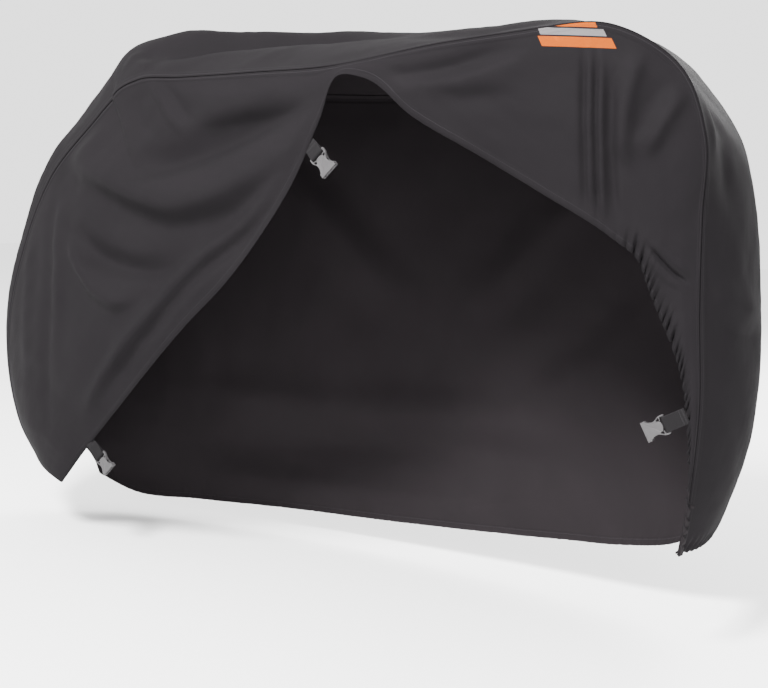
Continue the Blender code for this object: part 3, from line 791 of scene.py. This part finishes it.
def make_top(name, stations, inner, finishes):
    """The top strip, with its two seams and its folds."""
    lengths = strip_lengths()
    rows = np.arange(len(STRIP))
    along = np.linspace(0, lengths[-1], stations)
    station = np.interp(along, lengths, rows)
    near_half = strip_at(station, "near_half")
    far_half = strip_at(station, "far_half")
    near = graded((SEAM_EDGE, (0.0,)), inner, near_half - SEAM_SETBACK) + SEAM_SETBACK
    far = graded((SEAM_EDGE, (0.0,)), inner, far_half - SEAM_SETBACK) + SEAM_SETBACK
    across = np.concatenate(
        [-1 + near / near_half[:, None], (1 - far / far_half[:, None])[:, ::-1][:, 1:]], axis=1
    )
    wide = np.broadcast_to(station[:, None], across.shape)
    grid = strip_point(wide.ravel(), across.ravel()).reshape(*across.shape, 3)
    reach = np.where(across > 0, far_half[:, None], near_half[:, None])
    from_seam = (1 - np.abs(across)) * reach

    def to_flat(line):
        at = np.interp(line[:, 0], rows, lengths)
        half = np.where(line[:, 1] > 0, strip_at(line[:, 0], "far_half"), strip_at(line[:, 0], "near_half"))
        return np.stack([at, line[:, 1] * half], axis=1)

    flat = np.stack([np.broadcast_to(along[:, None], across.shape), across * reach], axis=-1)
    flat = flat.reshape(-1, 2)
    lift = (fold_lift(STRIP_FOLDS, flat, to_flat) + unevenness(flat, 11, 0.45)).reshape(across.shape)
    lift = lift * softly(from_seam / 0.045)
    from_end = np.minimum(along, lengths[-1] - along)[:, None] * np.ones_like(across)
    out = facing_out(grid, MIDDLE)
    phase = across * reach * 2 * math.pi / GATHER_SPACING + 0.6 * np.sin(across * 9.0)
    wave = END_GATHERS * np.sin(phase)
    close = np.clip(1 - from_end / END_REACH, 0, 1)
    grid = grid + out * (lift + wave * close**1.5)[..., None]
    grid = grid - out * (0.010 * close**2)[..., None]
    out = facing_out(grid, MIDDLE)
    grid = grid + out * (seam_lift(from_seam) + hem_lift(from_end))[..., None]
    cut = np.stack([np.broadcast_to(along[:, None], across.shape), from_seam, from_end], axis=-1)
    piece = cloth_object(name, grid, cut, finishes)
    turn_outward(piece, lambda place: place - Vector(MIDDLE - CARRIED))
    return piece


# ---------------------------------------------------------------- straps and buckles


def strap_place(spec):
    """The matrix from a buckle's own frame to the part's: x to the mouth, z to the outside."""
    _, row, angle, reach, inboard = spec
    root = np.array([hem_at(NEAR_HEM, np.array([row]), key)[0] for key in "xyz"])
    down = math.radians(angle)
    ahead = np.array([math.cos(down), 0.0, -math.sin(down)])
    at = root + ahead * (reach - ROOT_OVERLAP) + np.array([0.0, inboard, 0.0]) - CARRIED
    turn = Matrix.Rotation(math.pi / 2, 4, "X") @ Matrix.Rotation(-down, 4, "Z")
    return Matrix.Translation(Vector(at)) @ turn


def rounded_slab(name, outlines, height, rounding, finish):
    """Flat closed outlines, the later ones holes, as a slab with rounded edges."""
    curve = bpy.data.curves.new(name + "_outline", "CURVE")
    curve.dimensions = "2D"
    curve.fill_mode = "BOTH"
    curve.bevel_depth = rounding
    curve.bevel_resolution = 3
    curve.extrude = height / 2 - rounding
    curve.offset = -rounding
    for points in outlines:
        spline = curve.splines.new("POLY")
        spline.points.add(len(points) - 1)
        for point, (x, y) in zip(spline.points, points):
            point.co = (x, y, 0, 1)
        spline.use_cyclic_u = True
    guide = bpy.data.objects.new(name + "_guide", curve)
    bpy.context.scene.collection.objects.link(guide)
    graph = bpy.context.evaluated_depsgraph_get()
    mesh = bpy.data.meshes.new_from_object(guide.evaluated_get(graph))
    bpy.data.objects.remove(guide)
    shell = bmesh.new()
    shell.from_mesh(mesh)
    bmesh.ops.remove_doubles(shell, verts=shell.verts, dist=2e-6)
    bmesh.ops.recalc_face_normals(shell, faces=shell.faces)
    shell.to_mesh(mesh)
    shell.free()
    mesh.materials.clear()
    mesh.materials.append(finish)
    made = bpy.data.objects.new(name, mesh)
    bpy.context.scene.collection.objects.link(made)
    return made


def through_corners(corners, count=5):
    """A closed outline through the corners, each rounded by a short smooth run."""
    corners = np.array(corners, float)
    out = []
    for before, corner, after in zip(np.roll(corners, 1, 0), corners, np.roll(corners, -1, 0)):
        start = corner + (before - corner) * 0.30
        end = corner + (after - corner) * 0.30
        for t in np.linspace(0, 1, count):
            out.append(tuple((1 - t) ** 2 * start + 2 * t * (1 - t) * corner + t**2 * end))
    return out


def mirrored(half):
    """A closed outline from the half of it on one side of the x axis."""
    return list(half) + [(x, -y) for x, y in reversed(half)]


def apply_all(piece):
    """Makes the piece's modifiers part of its mesh."""
    graph = bpy.context.evaluated_depsgraph_get()
    mesh = bpy.data.meshes.new_from_object(piece.evaluated_get(graph))
    piece.modifiers.clear()
    old = piece.data
    piece.data = mesh
    bpy.data.meshes.remove(old)


def make_buckle(spec, finish):
    """A buckle socket with its bar, arms, windows, waist and stepped mouth."""
    name = "socket_" + spec[0]
    outer = mirrored(BUCKLE_OUTLINE)
    slot_half = WEBBING_WIDTH / 2 + 0.0009
    nose = [(BODY_START + 0.0003 + 0.0034 * (1 - math.cos(a)), 0.0088 * math.sin(a))
            for a in np.linspace(-math.pi / 2, math.pi / 2, 13)]
    slot = [(-0.0060, -slot_half), (0.0056, -slot_half), (0.0068, -0.0128), (0.0070, -0.0096)]
    slot += nose
    slot += [(0.0070, 0.0096), (0.0068, 0.0128), (0.0056, slot_half), (-0.0060, slot_half)]
    windows = [through_corners([(x, y * side) for x, y in BUCKLE_WINDOW], 4) for side in (1, -1)]
    body = rounded_slab(name, [outer, *windows], BUCKLE_HEIGHT, 0.0011, finish)
    cutters = [
        rounded_slab(name + "_slot", [slot], 0.05, 0.0004, finish),
        rounded_slab(name + "_mouth", [through_corners([
            (BUCKLE_LENGTH - MOUTH_DEPTH, -MOUTH_HALF_WIDTH), (0.08, -MOUTH_HALF_WIDTH),
            (0.08, MOUTH_HALF_WIDTH), (BUCKLE_LENGTH - MOUTH_DEPTH, MOUTH_HALF_WIDTH)], 3)],
            2 * MOUTH_HALF_HEIGHT, 0.0012, finish),
    ]
    for cutter in cutters:
        step = body.modifiers.new("cut", "BOOLEAN")
        step.operation = "DIFFERENCE"
        step.object = cutter
    bar = rounded_slab(name + "_bar", [[
        (-BAR / 2, -slot_half - 0.0016), (BAR / 2, -slot_half - 0.0016),
        (BAR / 2, slot_half + 0.0016), (-BAR / 2, slot_half + 0.0016)]], BAR, 0.0012, finish)
    step = body.modifiers.new("bar", "BOOLEAN")
    step.operation = "UNION"
    step.object = bar
    apply_all(body)
    for helper in (*cutters, bar):
        bpy.data.objects.remove(helper)
    mesh = body.data
    points = np.array([v.co for v in mesh.vertices])
    core = np.interp(points[:, 0], [0.012, 0.016], [BAR / 2, MOUTH_HALF_HEIGHT + 0.0006])
    crown = np.interp(points[:, 0], [0.010, 0.0145, 0.020, 0.026, 0.034, 0.0365],
                      [0.10, 0.35, 0.85, 1.00, 0.90, 1.0])
    crown *= 1 - 0.25 * np.clip(np.abs(points[:, 1]) / 0.019, 0, 1) ** 2
    height = np.abs(points[:, 2])
    height = np.where(height > core, core + (height - core) * crown, height)
    points[:, 2] = np.sign(points[:, 2]) * height
    mesh.vertices.foreach_set("co", points.ravel())
    mesh.shade_smooth()
    mesh.update()
    weights = body.modifiers.new("even shading", "WEIGHTED_NORMAL")
    weights.keep_sharp = True
    for edge in mesh.edges:
        edge.use_edge_sharp = False
    body.matrix_world = strap_place(spec)
    return body


def make_band(spec, finish):
    """Webbing that comes from the hem, rounds the buckle's bar and is sewn back on itself."""
    reach = spec[3]
    turn = [(LOOP_RADIUS * math.sin(a), LOOP_RADIUS * math.cos(a)) for a in np.linspace(0, math.pi, 15)]
    path = [(-reach, 0.0012), (-0.72 * reach, 0.0013), (-0.45 * reach, 0.0018), (-0.0080, 0.0032),
            (-0.004, 0.0040)]
    path += turn
    path += [(-0.004, -0.0040), (-0.0080, -0.0030), (-0.45 * reach, -0.0014), (-0.80 * reach, -0.0009)]
    path = np.array(path)
    lengths = lengths_along(path)
    at = np.linspace(0, lengths[-1], 84)
    line = np.stack([np.interp(at, lengths, path[:, k]) for k in (0, 1)], axis=1)
    for _ in range(2):
        line[1:-1] = (line[:-2] + 2 * line[1:-1] + line[2:]) / 4
    half = WEBBING_WIDTH / 2
    across = np.linspace(-half, half, 19)
    ahead = np.gradient(line, axis=0)
    ahead /= np.linalg.norm(ahead, axis=1)[:, None]
    out = np.stack([-ahead[:, 1], ahead[:, 0]], axis=1)
    cup = 0.0005 * (across / half) ** 2
    grid = np.zeros((len(at), len(across), 3))
    grid[..., 0] = line[:, :1] - out[:, :1] * cup
    grid[..., 1] = across
    grid[..., 2] = line[:, 1:] - out[:, 1:] * cup
    wide, _ = np.meshgrid(across, at)
    band = np.stack([wide, np.broadcast_to(at[:, None], wide.shape), np.zeros_like(wide)], axis=-1)
    piece = cloth_object("webbing_" + spec[0], grid + CARRIED, band, [finish], {"band": band})
    piece.modifiers["thickness"].thickness = WEBBING
    rounding = piece.modifiers.new("soft edges", "BEVEL")
    rounding.width = 0.0003
    rounding.segments = 2
    rounding.limit_method = "ANGLE"
    rounding.angle_limit = math.radians(60)
    piece.matrix_world = strap_place(spec)
    return piece, lengths[-1]


# ---------------------------------------------------------------- the cover


outside = cloth_finish("coated_cloth", CLOTH_BLACK, CLOTH_FADED)
printed = cloth_finish("coated_cloth_printed", CLOTH_BLACK, CLOTH_FADED, marked=True)
inside = cloth_finish("cloth_inside", LINING_BLACK, LINING_FADED)
webbing = webbing_finish("woven_webbing")
plastic = plastic_finish("moulded_plastic")

near_panel = make_side(
    "near_side_cloth", NEAR_HEM, NEAR_FOLDS, NEAR_GATHERS, NEAR_DENSITY, 70, 5, [printed, inside],
    marked=True,
)
far_panel = make_side(
    "far_side_cloth", FAR_HEM, FAR_FOLDS, FAR_GATHERS, FAR_DENSITY, 70, 8, [outside, inside]
)
top = make_top("top_cloth", 420, 32, [outside, inside])

for piece, node in ((near_panel, "near_panel"), (far_panel, "far_panel"), (top, "top_strip")):
    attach(piece, "root")
    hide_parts(node)

for spec in STRAPS:
    band, length = make_band(spec, webbing)
    socket = make_buckle(spec, plastic)
    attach(band, "root")
    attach(socket, "root")
    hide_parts("strap_" + spec[0])
    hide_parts("buckle_" + spec[0])


# ---------------------------------------------------------------- floor, light and camera


WORLD_LIGHT = 2.3
SENSOR = 36.0
LENS = 54.363844
CAMERA_PLACE = (1.432 - CARRIED_X, -2.155, 0.829 - CARRIED_Z)
CAMERA_YAW, CAMERA_PITCH, CAMERA_ROLL = 0.524, -0.123, 0.018
FLOOR_REACH = 14


def floor_finish():
    finish = Finish("pale_floor")
    return finish.surface(Base_Color=(0.90, 0.90, 0.90, 1.0), Roughness=0.9, Specular_IOR_Level=0.0)


def area_light(name, at, look_at, size, power):
    """A square soft light at a place, turned to look at another."""
    light = bpy.data.lights.new(name, "AREA")
    light.size = size
    light.energy = power
    lamp = bpy.data.objects.new(name, light)
    lamp.location = at
    direction = Vector(look_at) - Vector(at)
    lamp.rotation_euler = direction.to_track_quat("-Z", "Y").to_euler()
    bpy.context.scene.collection.objects.link(lamp)


def studio():
    """A pale floor under a white sky, with three soft lights."""
    mesh = bpy.data.meshes.new("floor")
    corners = [(x * FLOOR_REACH, y * FLOOR_REACH, 0) for x, y in ((-1, -1), (1, -1), (1, 1), (-1, 1))]
    mesh.from_pydata(corners, [], [(0, 1, 2, 3)])
    mesh.materials.append(floor_finish())
    floor = bpy.data.objects.new("floor", mesh)
    floor.location = (0, 0, -CARRIED_Z)
    bpy.context.scene.collection.objects.link(floor)
    world = bpy.data.worlds.new("studio")
    world.use_nodes = True
    sky = world.node_tree.nodes["Background"]
    sky.inputs["Color"].default_value = (1.0, 1.0, 1.0, 1.0)
    sky.inputs["Strength"].default_value = WORLD_LIGHT
    bpy.context.scene.world = world
    area_light("key", (0.1, -3.3, 2.8), (0.0, -0.2, -0.4), 1.1, 1050)
    area_light("back", (1.0, 3.8, 2.2), (0.0, 0.3, -0.5), 2.4, 420)
    area_light("fill", (2.6, -3.4, 0.6), (0.4, -0.2, -0.5), 2.4, 160)


def camera():
    """The camera, from its place and the three angles that it is turned by."""
    yaw, pitch, roll = CAMERA_YAW, CAMERA_PITCH, CAMERA_ROLL
    forward = Vector((-math.sin(yaw) * math.cos(pitch), math.cos(yaw) * math.cos(pitch), math.sin(pitch)))
    level = Vector((math.cos(yaw), math.sin(yaw), 0.0))
    upright = level.cross(forward)
    right = math.cos(roll) * level + math.sin(roll) * upright
    up = -math.sin(roll) * level + math.cos(roll) * upright
    lens = bpy.data.cameras.new("camera")
    lens.sensor_width = SENSOR
    lens.lens = LENS
    seen_from = bpy.data.objects.new("camera", lens)
    turn = Matrix((right, up, -forward)).transposed().to_4x4()
    seen_from.matrix_world = Matrix.Translation(Vector(CAMERA_PLACE)) @ turn
    bpy.context.scene.collection.objects.link(seen_from)
    bpy.context.scene.camera = seen_from


studio()
camera()
